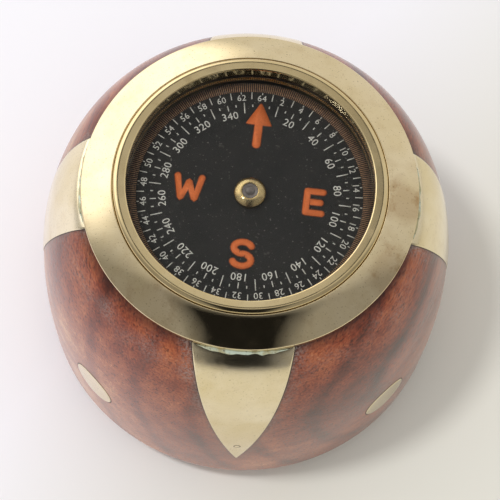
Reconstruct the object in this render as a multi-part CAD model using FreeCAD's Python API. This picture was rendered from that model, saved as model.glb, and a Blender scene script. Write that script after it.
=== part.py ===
import FreeCAD, Part
import math
import os

# A turned wooden dome with a brass crown let into it and a dry-card compass in its mouth.
# Millimetres, +Z up, origin at the middle of the foot, front leaf of the crown towards -Y.

# Wooden dome
belly_swell = 10.5             # widest part, low on the dome, beyond the rim
belly_height = 7.0
foot_tuck = 6.9                # the flat foot lies this far inside the belly
wood_height = 58.5             # flat seat for the collar
rim_inset = 0.1                # the wood's rim lies this far inside the collar's edge
shoulder_slope = 37.0          # degrees below level, just under the collar
shoulder_pull = 14.0           # how far the shoulder keeps that slope
flank_pull = 9.0               # how far the flank stays upright above the belly
round_over = 0.5523            # quarter-circle handle length, as a share of its radius
pocket_floor_gap = 0.3         # under the capsule

# Base pad
pad_margin = 3.0               # bare wood round the pad
pad_thickness = 1.2
pad_proud = 0.4                # how far the pad stands below the wood

# Collar
collar_width = 5.95
collar_edge = 1.5              # thickness at the outer edge
collar_rise = 2.2              # the top climbs this much towards the mouth
collar_crown = 0.25            # bulge of the top
edge_round = 0.3

# Four leaves that hang from the collar, let into the wood
leaf_names = ("front", "right", "back", "left")
leaf_half_width = 9.3
leaf_length = 40.5             # from the collar's seat to the point
leaf_bulge = 0.9               # the edges bow outwards
leaf_inset = 1.2
leaf_proud = 0.15
leaf_fit = 0.03                # clearance of its bed in the wood

# Brass pins through the leaves
pin_radius = 0.6
pin_length = 6.0
pin_above_point = 9.0

# Round brass dots between the leaves
dot_names = ("front_right", "back_right", "back_left", "front_left")
dot_radius = 5.1
dot_depth = 2.0
dot_drop = 34.5                # its middle below the collar's seat

# Solder bead between each leaf and the collar
bead_rise = 0.8
bead_drop = 1.0
bead_angle = 12.0              # degrees to each side of the leaf's middle

# Bezel ring and glass
mouth_overlap = 0.4            # its lip reaches this far over the card
bezel_crest = 0.7              # height of its top above the collar
bezel_round = 0.9              # radius of its outer shoulder
lip_drop = 0.3                 # inner edge of the top below its crest
lip_depth = 2.2                # from the inner edge down to the glass
skirt_thickness = 0.4
skirt_length = 3.0             # below the capsule's rim
snap_fit = 0.05                # radial clearance of each fitted ring
glass_thickness = 1.2
gasket_thickness = 0.3
seat_thickness = 1.2

# Capsule
cup_wall = 0.8
cup_floor = 1.0
cup_depth = 15.0
cup_screw_circle = 16.0
cup_screw_count = 3
screw_head_radius = 2.0
screw_head_height = 1.0
screw_radius = 1.0
screw_length = 9.0
slot_width = 0.5
slot_depth = 0.45

# Card and what rides under it
card_heading = -4.6            # degrees, where the card's north comes to rest
card_radius = 23.4
card_gap = 0.85                # between the card's edge and the cup
card_thickness = 0.4
card_drop = 1.8                # card's top below the seat ring
carrier_length = 26.0
carrier_width = 15.0
carrier_thickness = 0.5
magnet_length = 24.0
magnet_width = 3.0
magnet_thickness = 2.0
magnet_offset = 5.6

# Hub, jewel and the needle they turn on
hub_radius = 3.0
hub_brim = 0.7                 # straight rim under its dome
hub_dome = 1.3
stem_radius = 1.9
hub_bore = 1.5
riveted_end = 0.15
washer_radius = 3.2
washer_thickness = 0.5
jewel_length = 1.9
jewel_dome = 0.25
jewel_crown = 0.8              # flat on its top
jewel_cup_radius = 1.0
jewel_cup_depth = 1.0
jewel_cup_floor = 0.15
needle_radius = 0.45
needle_tip_radius = 0.08
needle_taper = 1.6
needle_gap = 0.06              # tip to jewel, a running fit
needle_sunk = 3.5
post_radius = 2.2
post_gap = 4.65                # between the post and the hub's stem
rivet_radius = 1.2

# Levels and radii that follow from the above
mouth_radius = card_radius - mouth_overlap
cup_bore = card_radius + card_gap
cup_radius = cup_bore + cup_wall
bezel_radius = cup_radius + snap_fit + skirt_thickness
collar_bore = bezel_radius + snap_fit
collar_radius = collar_bore + collar_width
rim_radius = collar_radius - rim_inset
belly_radius = rim_radius + belly_swell
foot_radius = belly_radius - foot_tuck
pad_radius = foot_radius - pad_margin
collar_top = wood_height + collar_edge + collar_rise
crest_top = collar_top + bezel_crest
lip_top = crest_top - lip_drop
glass_top = lip_top - lip_depth
gasket_top = glass_top - glass_thickness
seat_top = gasket_top - gasket_thickness
cup_top = seat_top - seat_thickness
cup_bottom = cup_top - cup_depth
floor_top = cup_bottom + cup_floor
card_top = cup_top - card_drop
card_bottom = card_top - card_thickness
carrier_bottom = card_bottom - carrier_thickness
washer_bottom = carrier_bottom - washer_thickness
stem_bottom = washer_bottom - riveted_end
post_top = stem_bottom - post_gap
hub_top = card_top + hub_brim + hub_dome
jewel_bottom = hub_top - jewel_length
leaf_point = wood_height - leaf_length
dot_height = wood_height - dot_drop
pin_height = leaf_point + pin_above_point
origin = FreeCAD.Vector(0, 0, 0)
up = FreeCAD.Vector(0, 0, 1)


def at(radius, height):
    """A point of a profile drawn in the XZ plane."""
    return FreeCAD.Vector(radius, 0, height)


def line(start, end):
    return Part.LineSegment(start, end).toShape()


def arc(start, middle, end):
    return Part.Arc(start, middle, end).toShape()


def bezier(poles):
    curve = Part.BezierCurve()
    curve.setPoles(poles)
    return curve.toShape()


def turned(edges):
    """The solid that a closed profile sweeps round the Z axis."""
    face = Part.Face(Part.Wire(edges))
    return face.revolve(origin, up, 360)


def turned_polygon(points):
    corners = [at(radius, height) for radius, height in points]
    return turned([line(a, b) for a, b in zip(corners, corners[1:] + corners[:1])])


def ring(outer, inner, bottom, top):
    return turned_polygon([(inner, bottom), (outer, bottom), (outer, top), (inner, top)])


def rod(radius, bottom, top, x=0.0, y=0.0):
    return Part.makeCylinder(radius, top - bottom, FreeCAD.Vector(x, y, bottom), up)


def round_z(shape, degrees):
    copy = shape.copy()
    copy.rotate(origin, up, degrees)
    return copy


def flank(grow):
    """The dome's side from the rim to the belly, pushed outwards by grow."""
    slope = math.radians(shoulder_slope)
    rim = at(rim_radius + grow, wood_height)
    belly = at(belly_radius + grow, belly_height)
    rim_handle = rim + at(math.cos(slope), -math.sin(slope)) * shoulder_pull
    belly_handle = belly + at(0, flank_pull)
    return bezier([rim, rim_handle, belly_handle, belly])


def flank_band(outer_grow, inner_grow):
    """A skin that follows the dome's side, used for what is let flush into it."""
    outer = flank(outer_grow)
    inner = flank(inner_grow)
    top = line(at(rim_radius + inner_grow, wood_height), at(rim_radius + outer_grow, wood_height))
    foot = line(at(belly_radius + inner_grow, belly_height), at(belly_radius + outer_grow, belly_height))
    return turned([outer, foot, inner, top])


def leaf_prism(grow):
    """The leaf's pointed outline, pushed through the front of the dome."""
    half = leaf_half_width + grow
    tip = leaf_point - grow
    shoulder = wood_height + leaf_bulge
    bow_height = (wood_height + tip) / 2
    bow_half = half / 2 + leaf_bulge
    left = (at(-half, shoulder), at(-half, wood_height))
    right = (at(half, wood_height), at(half, shoulder))
    corners = (*left, at(0, tip), *right)
    edges = [
        line(corners[0], corners[1]),
        arc(corners[1], at(-bow_half, bow_height), corners[2]),
        arc(corners[2], at(bow_half, bow_height), corners[3]),
        line(corners[3], corners[4]),
        line(corners[4], corners[0]),
    ]
    face = Part.Face(Part.Wire(edges))
    return face.extrude(FreeCAD.Vector(0, -2 * belly_radius, 0))


def front_leaf():
    return flank_band(leaf_proud, -leaf_inset).common(leaf_prism(0))


def front_leaf_bed():
    return flank_band(2 * leaf_proud, -leaf_inset - leaf_fit).common(leaf_prism(leaf_fit))


def level_rod(radius, depth, height):
    """A rod that lies level and reaches from outside the dome to depth under its side."""
    inner = belly_radius - depth
    place = FreeCAD.Vector(0, -inner, height)
    return Part.makeCylinder(radius, 2 * depth, place, FreeCAD.Vector(0, -1, 0))


def front_pin():
    skin = flank_band(leaf_proud, -pin_length)
    return skin.common(level_rod(pin_radius, 2 * pin_length, pin_height))


def front_dot():
    skin = flank_band(leaf_proud, -dot_depth)
    return skin.common(level_rod(dot_radius, 2 * pin_length, dot_height))


def leaf_turns():
    return [(name, 90 * index) for index, name in enumerate(leaf_names)]


def dot_turns():
    return [(name, 45 + 90 * index) for index, name in enumerate(dot_names)]


def screw_places():
    for index in range(cup_screw_count):
        angle = 2 * math.pi * index / cup_screw_count
        yield cup_screw_circle * math.cos(angle), cup_screw_circle * math.sin(angle)


def dome_solid():
    run = belly_radius - foot_radius
    drop = belly_height - pad_proud
    belly = at(belly_radius, belly_height)
    foot = at(foot_radius, pad_proud)
    low = belly - at(0, round_over * drop)
    near = foot + at(round_over * run, 0)
    top = at(0, wood_height)
    bottom = at(0, pad_proud)
    return turned([
        line(top, at(rim_radius, wood_height)),
        flank(0),
        bezier([belly, low, near, foot]),
        line(foot, bottom),
        line(bottom, top),
    ])


def wood_body():
    wood = dome_solid()
    wood = wood.cut(rod(collar_bore, cup_bottom, crest_top))
    wood = wood.cut(rod(rivet_radius, cup_bottom - pocket_floor_gap, cup_bottom))
    wood = wood.cut(rod(pad_radius, 0, pad_thickness))
    for x, y in screw_places():
        wood = wood.cut(rod(screw_radius, floor_top - screw_length, floor_top, x, y))
    leaf = front_leaf_bed()
    pin = front_pin()
    dot = front_dot()
    for _, turn in leaf_turns():
        wood = wood.cut(round_z(leaf, turn)).cut(round_z(pin, turn))
    for _, turn in dot_turns():
        wood = wood.cut(round_z(dot, turn))
    return wood


def base_pad():
    return rod(pad_radius, 0, pad_thickness)


def collar_ring():
    edge_top = wood_height + collar_edge
    middle = at((collar_radius + collar_bore) / 2, (edge_top + collar_top) / 2 + collar_crown)
    outline = [
        line(at(collar_bore, wood_height), at(collar_radius - edge_round, wood_height)),
        line(at(collar_radius - edge_round, wood_height), at(collar_radius, wood_height + edge_round)),
        line(at(collar_radius, wood_height + edge_round), at(collar_radius, edge_top - edge_round)),
        line(at(collar_radius, edge_top - edge_round), at(collar_radius - edge_round, edge_top)),
        arc(at(collar_radius - edge_round, edge_top), middle, at(collar_bore + edge_round, collar_top)),
        line(at(collar_bore + edge_round, collar_top), at(collar_bore, collar_top - edge_round)),
        line(at(collar_bore, collar_top - edge_round), at(collar_bore, wood_height)),
    ]
    return turned(outline)


def leaf_with_hole():
    return front_leaf().cut(front_pin())


def solder_seams():
    """One bead a leaf, in the corner between the collar's edge and the leaf's face."""
    top = wood_height + bead_rise
    low = wood_height - bead_drop
    reach = rim_radius + leaf_proud + bead_drop / math.tan(math.radians(shoulder_slope))
    face = Part.Face(Part.Wire([
        line(at(collar_radius, top), at(reach, low)),
        line(at(reach, low), at(collar_radius - edge_round, wood_height)),
        line(at(collar_radius - edge_round, wood_height), at(collar_radius, top)),
    ]))
    bead = face.revolve(origin, up, 2 * bead_angle)
    bead = round_z(bead, -90 - bead_angle)
    bead = bead.cut(front_leaf()).cut(collar_ring())
    return Part.makeCompound([round_z(bead, turn) for _, turn in leaf_turns()])


def leaf_pins():
    pin = front_pin()
    return Part.makeCompound([round_z(pin, turn) for _, turn in leaf_turns()])


def bezel_ring():
    rebate = cup_radius + snap_fit
    bottom = cup_top - skirt_length
    cut_back = bezel_round * (1 - math.sqrt(0.5))
    side = at(bezel_radius, crest_top - bezel_round)
    shoulder = at(bezel_radius - cut_back, crest_top - cut_back)
    crest = at(bezel_radius - bezel_round, crest_top)
    return turned([
        arc(side, shoulder, crest),
        line(crest, at(mouth_radius, lip_top)),
        line(at(mouth_radius, lip_top), at(mouth_radius, glass_top)),
        line(at(mouth_radius, glass_top), at(rebate, glass_top)),
        line(at(rebate, glass_top), at(rebate, bottom)),
        line(at(rebate, bottom), at(bezel_radius, bottom)),
        line(at(bezel_radius, bottom), side),
    ])


def glass_crystal():
    return rod(cup_radius, gasket_top, glass_top)


def glass_gasket():
    return ring(cup_radius, mouth_radius, seat_top, gasket_top)


def glass_seat_ring():
    return ring(cup_radius, mouth_radius, cup_top, seat_top)


def housing_cup():
    cup = turned_polygon([
        (rivet_radius, cup_bottom),
        (cup_radius, cup_bottom),
        (cup_radius, cup_top),
        (cup_bore, cup_top),
        (cup_bore, floor_top),
        (rivet_radius, floor_top),
    ])
    for x, y in screw_places():
        cup = cup.cut(rod(screw_radius, cup_bottom, floor_top, x, y))
    return cup


def cup_screws():
    screws = []
    head_top = floor_top + screw_head_height
    for x, y in screw_places():
        screw = rod(screw_head_radius, floor_top, head_top, x, y)
        screw = screw.fuse(rod(screw_radius, floor_top - screw_length, floor_top, x, y))
        corner = FreeCAD.Vector(x - screw_head_radius, y - slot_width / 2, head_top - slot_depth)
        screw = screw.cut(Part.makeBox(2 * screw_head_radius, slot_width, slot_depth, corner))
        screws.append(screw)
    return Part.makeCompound(screws)


def pivot_post():
    post = rod(post_radius, floor_top, post_top).fuse(rod(rivet_radius, cup_bottom, floor_top))
    return post.cut(rod(needle_radius, post_top - needle_sunk, post_top))


def jewel_cup_end():
    return jewel_bottom + jewel_cup_depth


def pivot_needle():
    tip = jewel_cup_end() - needle_gap
    bottom = post_top - needle_sunk
    return turned_polygon([
        (0, bottom),
        (needle_radius, bottom),
        (needle_radius, tip - needle_taper),
        (needle_tip_radius, tip),
        (0, tip),
    ])


def dial_card():
    return ring(card_radius, stem_radius, card_bottom, card_top)


def card_hub():
    """A domed cap over the card and a stem through it, bored for the needle and the jewel."""
    brim = card_top + hub_brim
    shoulder = at(hub_bore + (hub_radius - hub_bore) / math.sqrt(2), brim + hub_dome / math.sqrt(2))
    return turned([
        line(at(hub_bore, stem_bottom), at(stem_radius, stem_bottom)),
        line(at(stem_radius, stem_bottom), at(stem_radius, card_top)),
        line(at(stem_radius, card_top), at(hub_radius, card_top)),
        line(at(hub_radius, card_top), at(hub_radius, brim)),
        arc(at(hub_radius, brim), shoulder, at(hub_bore, hub_top)),
        line(at(hub_bore, hub_top), at(hub_bore, stem_bottom)),
    ])


def hub_jewel():
    cup_end = jewel_cup_end()
    top = hub_top + jewel_dome
    return turned_polygon([
        (jewel_cup_radius, jewel_bottom),
        (hub_bore, jewel_bottom),
        (hub_bore, hub_top),
        (jewel_crown, top),
        (0, top),
        (0, cup_end),
        (jewel_cup_floor, cup_end),
    ])


def hub_washer():
    return ring(washer_radius, stem_radius, washer_bottom, carrier_bottom)


def magnet_carrier():
    straight = carrier_length - carrier_width
    plate = Part.makeBox(carrier_width, straight, carrier_thickness,
                         FreeCAD.Vector(-carrier_width / 2, -straight / 2, carrier_bottom))
    for end in (-straight / 2, straight / 2):
        plate = plate.fuse(rod(carrier_width / 2, carrier_bottom, card_bottom, 0, end))
    plate = plate.removeSplitter()
    plate = plate.cut(rod(stem_radius, carrier_bottom, card_bottom))
    return round_z(plate, card_heading)


def magnet(side):
    corner = FreeCAD.Vector(side * magnet_offset - magnet_width / 2, -magnet_length / 2,
                            carrier_bottom - magnet_thickness)
    bar = Part.makeBox(magnet_width, magnet_length, magnet_thickness, corner)
    return round_z(bar, card_heading)


def pieces():
    yield "wood_body", wood_body()
    yield "base_pad", base_pad()
    yield "collar_ring", collar_ring()
    leaf = leaf_with_hole()
    for name, turn in leaf_turns():
        yield "inlay_leaf_" + name, round_z(leaf, turn)
    yield "leaf_pins", leaf_pins()
    dot = front_dot()
    for name, turn in dot_turns():
        yield "inlay_dot_" + name, round_z(dot, turn)
    yield "solder_seams", solder_seams()
    yield "bezel_ring", bezel_ring()
    yield "glass_crystal", glass_crystal()
    yield "glass_gasket", glass_gasket()
    yield "glass_seat_ring", glass_seat_ring()
    yield "housing_cup", housing_cup()
    yield "cup_screws", cup_screws()
    yield "pivot_post", pivot_post()
    yield "pivot_needle", pivot_needle()
    yield "dial_card", dial_card()
    yield "card_hub", card_hub()
    yield "hub_jewel", hub_jewel()
    yield "hub_washer", hub_washer()
    yield "magnet_carrier", magnet_carrier()
    yield "magnet_east", magnet(1)
    yield "magnet_west", magnet(-1)


os.makedirs("parts", exist_ok=True)
for node, shape in pieces():
    shape.exportStep("parts/" + node + ".step")
    print(node, "solids", len(shape.Solids), "valid", shape.isValid(), "volume", round(shape.Volume, 2))
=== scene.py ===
import bpy
import bmesh
import math
from mathutils import Matrix, Vector, noise


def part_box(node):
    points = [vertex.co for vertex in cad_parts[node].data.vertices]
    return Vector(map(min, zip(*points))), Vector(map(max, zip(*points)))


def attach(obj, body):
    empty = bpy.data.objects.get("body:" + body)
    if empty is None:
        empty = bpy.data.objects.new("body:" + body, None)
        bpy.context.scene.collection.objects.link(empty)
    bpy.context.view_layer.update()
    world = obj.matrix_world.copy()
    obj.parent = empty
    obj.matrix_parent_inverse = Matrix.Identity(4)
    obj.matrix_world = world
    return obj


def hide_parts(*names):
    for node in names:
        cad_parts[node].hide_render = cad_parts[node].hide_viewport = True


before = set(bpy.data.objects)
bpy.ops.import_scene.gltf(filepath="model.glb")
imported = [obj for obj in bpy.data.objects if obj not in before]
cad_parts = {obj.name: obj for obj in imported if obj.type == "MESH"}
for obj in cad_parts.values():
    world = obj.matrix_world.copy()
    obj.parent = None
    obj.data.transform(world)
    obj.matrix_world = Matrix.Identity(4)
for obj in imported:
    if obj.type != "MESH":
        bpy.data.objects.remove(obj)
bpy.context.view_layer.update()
mm = 0.001
print("frame loaded")


# Nodes and colours

def srgb(hexText):
    values = [int(hexText[i:i + 2], 16) / 255 for i in (1, 3, 5)]
    linear = [v / 12.92 if v <= 0.04045 else ((v + 0.055) / 1.055) ** 2.4 for v in values]
    return (*linear, 1.0)


# Adds one node, a shader one unless its kind says Geometry. Values fill its live inputs in order, a
# word with a capital fills the input of that name, and a word in small letters is a setting.
# It gives the node's first live output.
def addNode(tree, kind, *values, **named):
    made = tree.nodes.new(kind if kind.startswith("Geometry") else "ShaderNode" + kind)
    for key in [key for key in named if key[0].islower()]:
        setattr(made, key, named.pop(key))
    live = [socket for socket in made.inputs if socket.enabled]
    wanted = list(zip(live, values)) + [(made.inputs[key], value) for key, value in named.items()]
    for socket, value in wanted:
        if isinstance(value, bpy.types.NodeSocket):
            tree.links.new(value, socket)
        else:
            socket.default_value = value
    return next(socket for socket in made.outputs if socket.enabled)


def startMaterial(name, values):
    material = bpy.data.materials.new(name)
    material.use_nodes = True
    tree = material.node_tree
    tree.nodes.clear()
    shader = tree.nodes.new("ShaderNodeBsdfPrincipled")
    for key, value in values.items():
        shader.inputs[key].default_value = value
    output = tree.nodes.new("ShaderNodeOutputMaterial")
    tree.links.new(shader.outputs[0], output.inputs["Surface"])
    coords = tree.nodes.new("ShaderNodeTexCoord").outputs["Object"]
    return material, tree, shader, coords


# 1 inside a ragged ball round the centre, fading to 0 at 1.9 times its radius
def blobMask(tree, coords, centre, radius, wobble):
    away = addNode(tree, "VectorMath", coords, centre, operation="DISTANCE")
    ragged = addNode(
        tree, "Math", away, addNode(tree, "Math", wobble, radius, operation="MULTIPLY"), operation="ADD")
    return addNode(tree, "MapRange", ragged, radius, radius * 1.9, 1.0, 0.0)


# Padauk, turned and lacquered: long open pores that become dots on end grain, dark growth bands,
# orange patches, and a clear gloss over it all.
padauk = {
    "grainTurn": (0.10, 0.06, 0.16),  # the block's grain lies nearly along Y
    "poreAcross": 0.24 * mm,  # drawn a little wider than real so that it shows
    "poreAlong": 5.5 * mm,
    "poreDepth": (0.68, 0.34),  # how dark a pore is, in dark and in light wood
    "streakAcross": 1.6 * mm,
    "streakAlong": 24 * mm,
    "patchScale": (48, 17, 48),  # patches about 10 mm across and 30 mm along
    "bandSpacing": 11 * mm,
    "heart": (-0.055, 0.0, -0.03),  # where the growth bands circle
    "weights": {"patches": 0.85, "fibres": 0.42, "streaks": 0.3, "bands": 0.13},
    "toneRange": (0.50, 1.04),
    "dark": "#3a160c",
    "mid": "#803a22",
    "warm": "#a75c38",
    "light": "#cc9468",
    # the dark of the dirt along the leaves and of the painted shade under the collar's edge
    "grimeAndCollarShade": "#1a0a07",
    "grimeAndShadeAmount": 0.75,
    "residue": "#94867f",  # dried polish along the brass
    "residueAmount": 0.75,
    "residueGrit": 2400,  # specks of about 0.2 mm
    # painted light, not sapwood: the side toward -X, where the key lamp falls, is painted paler
    "paintedLitSideFrom": (-14 * mm, -38 * mm),  # the paler wood lies toward -X
    "paintedLitSide": 0.36,
    "gloss": (0.28, 0.42),  # roughness between hard and soft fibres
    "poreRelief": 0.05 * mm,
}


def padaukMaterial():
    p = padauk
    material, tree, shader, coords = startMaterial("lacqueredPadauk", {
        "Roughness": 0.5, "Specular IOR Level": 0.25, "Coat Weight": 0.5, "Coat Roughness": 0.1,
        "Sheen Weight": 0.2, "Sheen Roughness": 0.3, "Sheen Tint": srgb("#f4ddd2")})
    grain = addNode(
        tree, "Mapping", Vector=coords, Scale=(1, 1, 1), Rotation=p["grainTurn"], Location=p["heart"])
    # A noise of scale 1 has cells of about half a unit, so each size is doubled.
    across = 1 / (2 * p["poreAcross"])
    along = 1 / (2 * p["poreAlong"])
    pores = addNode(
        tree, "TexNoise", addNode(tree, "Mapping", Vector=grain, Scale=(across, along, across)), 1.0, 2.0,
        0.55)
    fibreScale = (1.1 * across, 0.3 * along, 1.1 * across)
    fibres = addNode(
        tree, "TexNoise", addNode(tree, "Mapping", Vector=grain, Scale=fibreScale), 1.0, 2.0, 0.5)
    wide = 1 / (2 * p["streakAcross"])
    long = 1 / (2 * p["streakAlong"])
    streaks = addNode(
        tree, "TexNoise", addNode(tree, "Mapping", Vector=grain, Scale=(wide, long, wide)), 1.0, 3.0,
        0.55, Distortion=0.3)
    patches = addNode(
        tree, "TexNoise", addNode(tree, "Mapping", Vector=grain, Scale=p["patchScale"]), 1.0, 3.0, 0.55,
        Distortion=0.5)
    # Wave rings repeat every pi / 10 of a unit at scale 1.
    ringScale = 2 * math.pi / (20 * p["bandSpacing"])
    bands = addNode(tree, "TexWave", grain, ringScale, 2.2, 3.0, 0.8, 0.55,
                    wave_type="RINGS", rings_direction="Y")
    lines = addNode(
        tree, "Math", addNode(tree, "Math", 1.0, bands, operation="SUBTRACT"), 5.0, operation="POWER")
    share = p["weights"]
    tone = addNode(
        tree, "Math", addNode(tree, "Math", patches, share["patches"], operation="MULTIPLY"),
        addNode(tree, "Math", fibres, share["fibres"], operation="MULTIPLY"), operation="ADD")
    tone = addNode(
        tree, "Math", tone, addNode(tree, "Math", streaks, share["streaks"], operation="MULTIPLY"),
        operation="ADD")
    tone = addNode(
        tree, "Math", tone, addNode(tree, "Math", lines, share["bands"], operation="MULTIPLY"),
        operation="SUBTRACT")
    sideways = addNode(tree, "SeparateXYZ", Vector=coords)
    # painted light: paler toward -X, the side the key lamp lights
    paintedLitSide = addNode(
        tree, "Math", addNode(tree, "MapRange", sideways, *p["paintedLitSideFrom"]),
        addNode(tree, "MapRange", patches, 0.3, 0.6, 0.72, 1.0), operation="MULTIPLY")
    tone = addNode(
        tree, "Math", addNode(tree, "MapRange", tone, *p["toneRange"]),
        addNode(tree, "Math", paintedLitSide, p["paintedLitSide"], operation="MULTIPLY"), operation="ADD")
    colour = addNode(tree, "ValToRGB", tone)
    ramp = colour.node.color_ramp.elements
    ramp[0].color = srgb(p["dark"])
    ramp[1].color = srgb(p["light"])
    for place, key in ((0.42, "mid"), (0.74, "warm")):
        ramp.new(place).color = srgb(p[key])
    poreMask = addNode(tree, "MapRange", pores, 0.34, 0.46, 1.0, 0.0)
    poreShade = addNode(tree, "MapRange", tone, 0.5, 0.95, *p["poreDepth"])
    colour = addNode(
        tree, "Mix", addNode(tree, "Math", poreMask, poreShade, operation="MULTIPLY"), colour,
        srgb(p["dark"]), data_type="RGBA")
    # buildWood writes both attributes from the distance to the brass; the dark one also paints shade under
    # the collar
    residue = addNode(tree, "Attribute", attribute_name="residue").node.outputs["Fac"]
    grimeAndCollarShade = addNode(tree, "Attribute", attribute_name="grimeAndCollarShade").node.outputs["Fac"]
    speckle = addNode(
        tree, "MapRange", addNode(tree, "TexNoise", coords, p["residueGrit"], 2.0, 0.7), 0.42, 0.62)
    dusty = addNode(
        tree, "Math", residue,
        addNode(
            tree, "Math", addNode(tree, "Math", speckle, 0.75, operation="MULTIPLY"), 0.1,
            operation="ADD"), operation="MULTIPLY")
    colour = addNode(
        tree, "Mix", addNode(tree, "Math", grimeAndCollarShade, p["grimeAndShadeAmount"], operation="MULTIPLY"), colour,
        srgb(p["grimeAndCollarShade"]), data_type="RGBA")
    colour = addNode(
        tree, "Mix", addNode(tree, "Math", dusty, p["residueAmount"], operation="MULTIPLY"), colour,
        srgb(p["residue"]), data_type="RGBA")
    tree.links.new(colour, shader.inputs["Base Color"])
    rough = addNode(
        tree, "Math", addNode(tree, "MapRange", fibres, 0.3, 0.7, *p["gloss"]),
        addNode(tree, "Math", dusty, 0.3, operation="MULTIPLY"), operation="ADD")
    tree.links.new(rough, shader.inputs["Roughness"])
    relief = addNode(
        tree, "Math", addNode(tree, "Math", poreMask, -1.0, operation="MULTIPLY"),
        addNode(tree, "Math", dusty, 0.8, operation="MULTIPLY"), operation="ADD")
    tree.links.new(
        addNode(tree, "Bump", Height=relief, Strength=0.25, Distance=p["poreRelief"]),
        shader.inputs["Normal"])
    return material


# Brass, cast or cut, polished by hand: mirror-like but softly wavy, with pits, hair scratches and
# brown tarnish where fingers and moisture got to it.
brass = {
    "cloudScale": 95,  # warm and pale clouds of about 5 mm
    "bloomScale": 260,  # brown tarnish in patches of about 2 mm
    "pitScale": 3200,  # casting pits of about 0.15 mm
    "pitColour": "#4a3a20",
    "dulling": 0.12,  # roughness that full tarnish adds
    "waveScale": 170,  # the slow waves a buffing wheel leaves
    "hairScale": (900, 5200, 900),  # scratches of about 0.1 mm, drawn wider than real
    "hairTurn": (0, 0, 0.6),
    "relief": 0.4 * mm,
}


def brassMaterial(name, base, rough, tarnish, pits, wave, brownPatches=()):
    b = brass
    material, tree, shader, coords = startMaterial(name, {"Metallic": 1.0, "Roughness": rough})
    cloud = addNode(tree, "TexNoise", coords, b["cloudScale"], 4.0, 0.6, Distortion=0.3)
    bloom = addNode(
        tree, "MapRange", addNode(tree, "TexNoise", coords, b["bloomScale"], 4.0, 0.65), 0.5, 0.78)
    specks = addNode(
        tree, "MapRange", addNode(tree, "TexNoise", coords, b["pitScale"], 1.0, 0.5), 0.66, 0.74)
    brown = srgb(tarnish["brown"])
    colour = addNode(
        tree, "Mix", addNode(tree, "MapRange", cloud, 0.35, 0.7), srgb(base), srgb(tarnish["warm"]),
        data_type="RGBA")
    colour = addNode(
        tree, "Mix", addNode(tree, "Math", bloom, tarnish["bloom"], operation="MULTIPLY"), colour, brown,
        data_type="RGBA")
    for centre, radius, strength in brownPatches:
        mask = blobMask(
            tree, coords, centre, radius, addNode(tree, "MapRange", cloud, 0.3, 0.7, -0.9, 0.9))
        mask = addNode(
            tree, "Math", mask, addNode(tree, "MapRange", bloom, 0.0, 0.6, 0.45, 1.0),
            operation="MULTIPLY")
        colour = addNode(
            tree, "Mix", addNode(tree, "Math", mask, strength, operation="MULTIPLY"), colour, brown,
            data_type="RGBA")
    colour = addNode(
        tree, "Mix", addNode(tree, "Math", specks, pits, operation="MULTIPLY"), colour,
        srgb(b["pitColour"]), data_type="RGBA")
    tree.links.new(colour, shader.inputs["Base Color"])
    dulled = addNode(tree, "MapRange", bloom, 0.0, 1.0, rough, rough + b["dulling"])
    tree.links.new(dulled, shader.inputs["Roughness"])
    slow = addNode(tree, "TexNoise", coords, b["waveScale"], 1.0, 0.4)
    hair = addNode(
        tree, "TexNoise",
        addNode(tree, "Mapping", Vector=coords, Scale=b["hairScale"], Rotation=b["hairTurn"]), 1.0, 2.0,
        0.6)
    relief = addNode(
        tree, "Math", addNode(tree, "Math", slow, wave, operation="MULTIPLY"),
        addNode(tree, "Math", hair, 0.04 * wave, operation="MULTIPLY"), operation="ADD")
    relief = addNode(
        tree, "Math", relief, addNode(tree, "Math", specks, 0.03 * wave, operation="MULTIPLY"),
        operation="SUBTRACT")
    tree.links.new(
        addNode(tree, "Bump", Height=relief, Strength=0.35, Distance=b["relief"]),
        shader.inputs["Normal"])
    return material


# Tarnish of each brass piece: its warm tone, its brown, and how much of the brown shows
tarnishes = {
    "collar": {"warm": "#e2cea2", "brown": "#9a6e34", "bloom": 0.20},
    "leaf": {"warm": "#e4d2a8", "brown": "#b8965c", "bloom": 0.16},
    "bezel": {"warm": "#dcc592", "brown": "#a27c48", "bloom": 0.15},
    "cup": {"warm": "#8c6a38", "brown": "#5a401f", "bloom": 0.3},
    "hub": {"warm": "#c4a46c", "brown": "#84603a", "bloom": 0.25},
}
# Brown patches on the collar: middle, radius, strength. The first two are stains on its right; the third,
# weaker, darkens its front-left.
collarBrownPatches = (
    ((0.0290, -0.002, 0.0605), 2.6 * mm, 0.75),
    ((0.0262, -0.0150, 0.0607), 2.8 * mm, 0.6),
    ((-0.0180, -0.0235, 0.0605), 4.0 * mm, 0.25),
)


# Any plain material: two close shades in clouds, a roughness that follows them, and a fine relief
def plainDetail(name, values, base, shade, scale, amount, distance):
    material, tree, shader, coords = startMaterial(name, values)
    cloud = addNode(tree, "TexNoise", coords, scale, 4.0, 0.6)
    colour = addNode(
        tree, "Mix", addNode(tree, "MapRange", cloud, 0.3, 0.7), srgb(base), srgb(shade),
        data_type="RGBA")
    tree.links.new(colour, shader.inputs["Base Color"])
    smooth = values["Roughness"]
    rough = addNode(tree, "MapRange", cloud, 0.3, 0.7, smooth, smooth + 0.1)
    tree.links.new(rough, shader.inputs["Roughness"])
    tree.links.new(
        addNode(tree, "Bump", Height=cloud, Strength=amount, Distance=distance), shader.inputs["Normal"])
    return material


# Card: aluminium disc, sprayed matt black and printed; a little dust lies on it.
cardFinish = {
    "black": "#181716",
    "worn": "#211f1d",
    "hazeScale": 120,  # worn and fresh black in clouds of about 4 mm
    "dust": {"colour": "#8d8780", "scale": 2600, "amount": 0.4},  # specks of about 0.2 mm
    "lint": {"colour": "#6d6a62", "scale": 900, "amount": 0.22},  # fluff of about 0.5 mm
    "sprayScale": 3000,  # the grain of the sprayed coat
    "sprayRelief": 0.02 * mm,
}


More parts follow.
